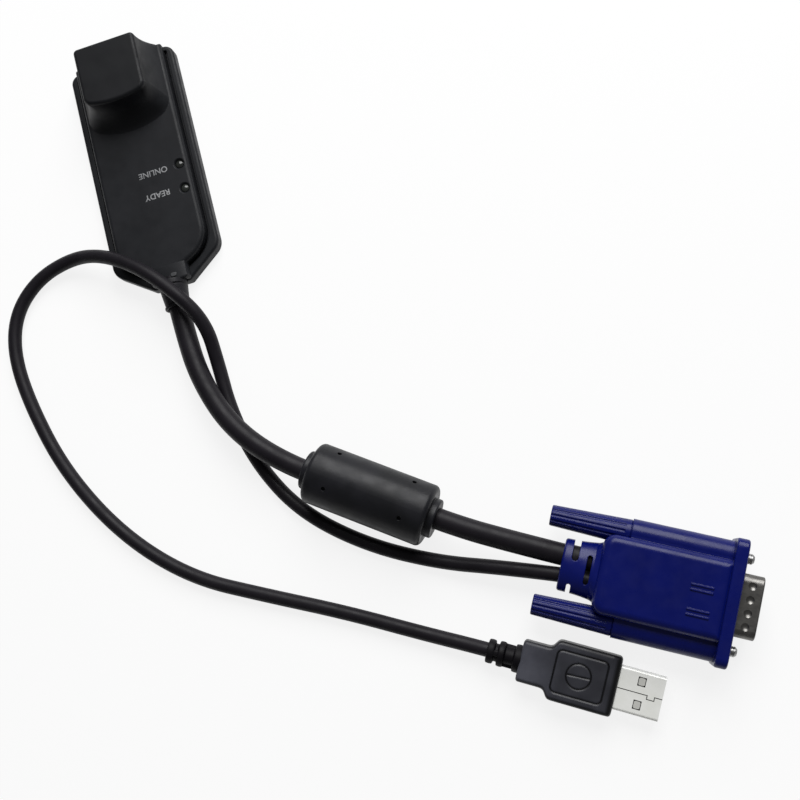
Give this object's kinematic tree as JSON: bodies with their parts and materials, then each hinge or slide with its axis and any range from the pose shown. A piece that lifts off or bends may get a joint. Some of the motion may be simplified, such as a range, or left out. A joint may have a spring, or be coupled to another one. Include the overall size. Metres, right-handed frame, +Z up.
{
  "type": "kvm dongle",
  "caption": "Server interface dongle: black pod with raised network socket and two status lights, cord with ferrite to a blue video plug, and a thinner cord to a USB plug.",
  "frame": {"origin": "centre of the pod's footprint, on the floor it lies on", "axes": "+Y along the pod towards its network socket, +Z up out of the pod's deck, +X across the pod towards its status lights"},
  "size_m": [0.1988, 0.2358, 0.0182],
  "materials": {
    "case_plastic": "fine satin texture",
    "circuit_board": "solder mask",
    "chip_plastic": "matte",
    "plated_steel": "plated sheet",
    "white_plastic": "satin",
    "cord_jacket": "satin",
    "jack_plastic": "satin",
    "gold_contact": "polished",
    "lens_plastic": "clear lens",
    "soft_black": "satin",
    "ferrite_jacket": "satin",
    "ferrite": "matte",
    "blue_plastic": "satin",
    "soft_grey": "satin"
  },
  "bodies": {
    "root": {"lower_shell": "case_plastic", "upper_cover": "case_plastic", "circuit_board": "circuit_board", "controller_chip": "chip_plastic", "video_chip": "chip_plastic", "crystal_can": "plated_steel", "board_passives": "chip_plastic", "cable_header": "white_plastic", "inner_wires": "cord_jacket", "case_screws": "plated_steel", "jack_housing": "jack_plastic", "jack_contacts": "gold_contact", "active_led": "lens_plastic", "power_led": "lens_plastic", "pod_gland": "soft_black", "video_cable": "cord_jacket", "ferrite_jacket": "ferrite_jacket", "ferrite_core": "ferrite", "vga_hood": "blue_plastic", "vga_shell": "plated_steel", "vga_insulator": "jack_plastic", "vga_pins": "gold_contact", "usb_cable": "cord_jacket", "usb_overmould": "soft_grey", "usb_shell": "plated_steel", "usb_tongue": "white_plastic", "usb_contacts": "gold_contact"},
    "upper_thumbscrew": {"upper_thumbscrew_knob": "blue_plastic", "upper_thumbscrew_rod": "plated_steel"},
    "lower_thumbscrew": {"lower_thumbscrew_knob": "blue_plastic", "lower_thumbscrew_rod": "plated_steel"}
  },
  "joints": [
    {"name": "upper_thumbscrew_spin", "type": "hinge", "parent": "root", "child": "upper_thumbscrew", "pos_m": [0.09705, -0.13936, 0.00775], "axis": [0.8838, -0.4679, 0], "continuous": true},
    {"name": "lower_thumbscrew_spin", "type": "hinge", "parent": "root", "child": "lower_thumbscrew", "pos_m": [0.08535, -0.16144, 0.00775], "axis": [0.8838, -0.4679, 0], "continuous": true}
  ]
}
